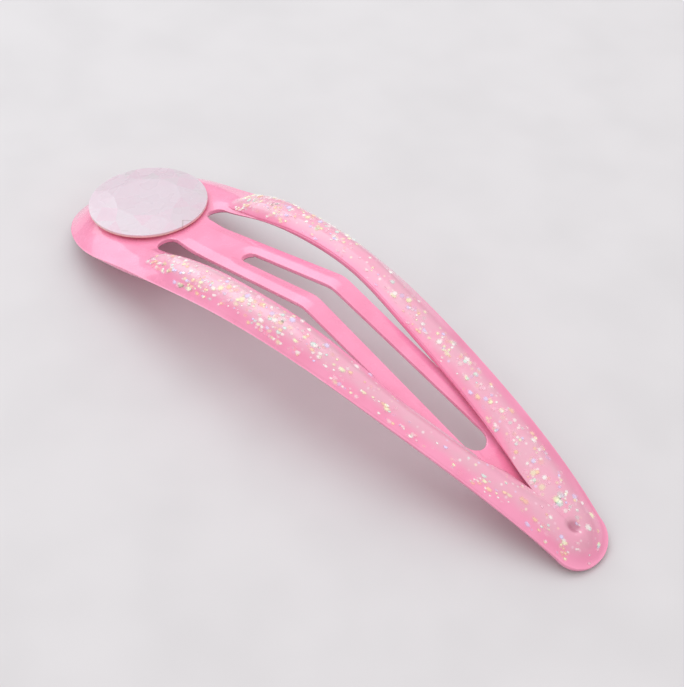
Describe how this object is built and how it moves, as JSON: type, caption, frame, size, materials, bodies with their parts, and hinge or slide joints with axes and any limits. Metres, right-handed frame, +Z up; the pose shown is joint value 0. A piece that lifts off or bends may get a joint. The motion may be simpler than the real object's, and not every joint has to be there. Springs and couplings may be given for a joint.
{
  "type": "snap hair clip",
  "caption": "Arched snap hair clip with a creased snap tongue, a faceted disc on its rounded head and a domed glitter coat on its arms.",
  "frame": {"origin": "middle of the clip on the floor that it lies on", "axes": "+X from the rounded head to the narrow tip, +Y across the clip, +Z up"},
  "size_m": [0.05, 0.0132, 0.0077],
  "materials": {
    "pink_paint": "gloss",
    "milky_resin": "milky, faceted",
    "glitter_resin": "clear gloss over glitter"
  },
  "bodies": {
    "frame": {"frame": "pink_paint", "cap_disc": "milky_resin", "glitter_coat": "glitter_resin"},
    "tongue": {"tongue": "pink_paint"}
  },
  "joints": [
    {"name": "tongue_snap", "type": "hinge", "parent": "frame", "child": "tongue", "pos_m": [-0.01366, 0, 0.00423], "axis": [0, 1, 0], "range_deg": [0, 18]}
  ]
}
